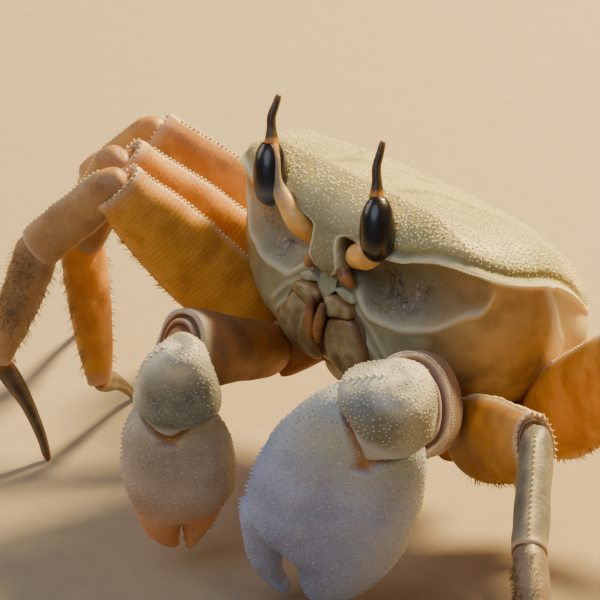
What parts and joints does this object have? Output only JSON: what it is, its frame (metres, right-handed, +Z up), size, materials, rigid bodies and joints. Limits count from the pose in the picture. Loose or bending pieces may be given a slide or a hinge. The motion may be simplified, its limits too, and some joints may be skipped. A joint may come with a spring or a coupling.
{
  "type": "ghost crab",
  "caption": "Life-size horned ghost crab standing on its walking legs, eyes raised and both claws held low in front.",
  "frame": {"origin": "on the floor, under the middle of the whole animal's bounding box", "axes": "+Z up; the crab faces -Y and its left side is +X"},
  "size_m": [0.126, 0.0768, 0.0503],
  "materials": {
    "shell": "satin, finely granular",
    "belly": "satin",
    "face": "satin",
    "stalk": "smooth, slightly glossy",
    "cornea": "glossy",
    "horn": "satin",
    "leg": "satin",
    "shank": "satin, hairy",
    "toe": "satin",
    "claw": "satin, granular",
    "cuff": "satin, granular",
    "arm": "satin"
  },
  "bodies": {
    "root": {"carapace": "shell", "sternum": "belly", "abdomen": "belly", "mouthparts": "face", "eyestalk_L": "stalk", "cornea_L": "cornea", "horn_L": "horn", "eyestalk_R": "stalk", "cornea_R": "cornea", "horn_R": "horn", "claw_base_L": "arm", "claw_merus_L": "arm", "claw_carpus_L": "cuff", "claw_palm_L": "claw", "claw_finger_L": "claw", "claw_base_R": "arm", "claw_merus_R": "arm", "claw_carpus_R": "cuff", "claw_palm_R": "claw", "claw_finger_R": "claw", "leg2_hip_R": "leg", "leg2_merus_R": "leg", "leg2_carpus_R": "shank", "leg2_propodus_R": "shank", "leg2_dactylus_R": "toe", "leg3_hip_R": "leg", "leg3_merus_R": "leg", "leg3_carpus_R": "shank", "leg3_propodus_R": "shank", "leg3_dactylus_R": "toe", "leg4_hip_R": "leg", "leg4_merus_R": "leg", "leg4_carpus_R": "shank", "leg4_propodus_R": "shank", "leg4_dactylus_R": "toe", "leg5_hip_R": "leg", "leg5_merus_R": "leg", "leg5_carpus_R": "shank", "leg5_propodus_R": "shank", "leg5_dactylus_R": "toe", "leg2_hip_L": "leg", "leg2_merus_L": "leg", "leg2_carpus_L": "shank", "leg2_propodus_L": "shank", "leg2_dactylus_L": "toe", "leg3_hip_L": "leg", "leg3_merus_L": "leg", "leg3_carpus_L": "shank", "leg3_propodus_L": "shank", "leg3_dactylus_L": "toe", "leg4_hip_L": "leg", "leg4_merus_L": "leg", "leg4_carpus_L": "shank", "leg4_propodus_L": "shank", "leg4_dactylus_L": "toe", "leg5_hip_L": "leg", "leg5_merus_L": "leg", "leg5_carpus_L": "shank", "leg5_propodus_L": "shank", "leg5_dactylus_L": "toe"}
  },
  "joints": []
}
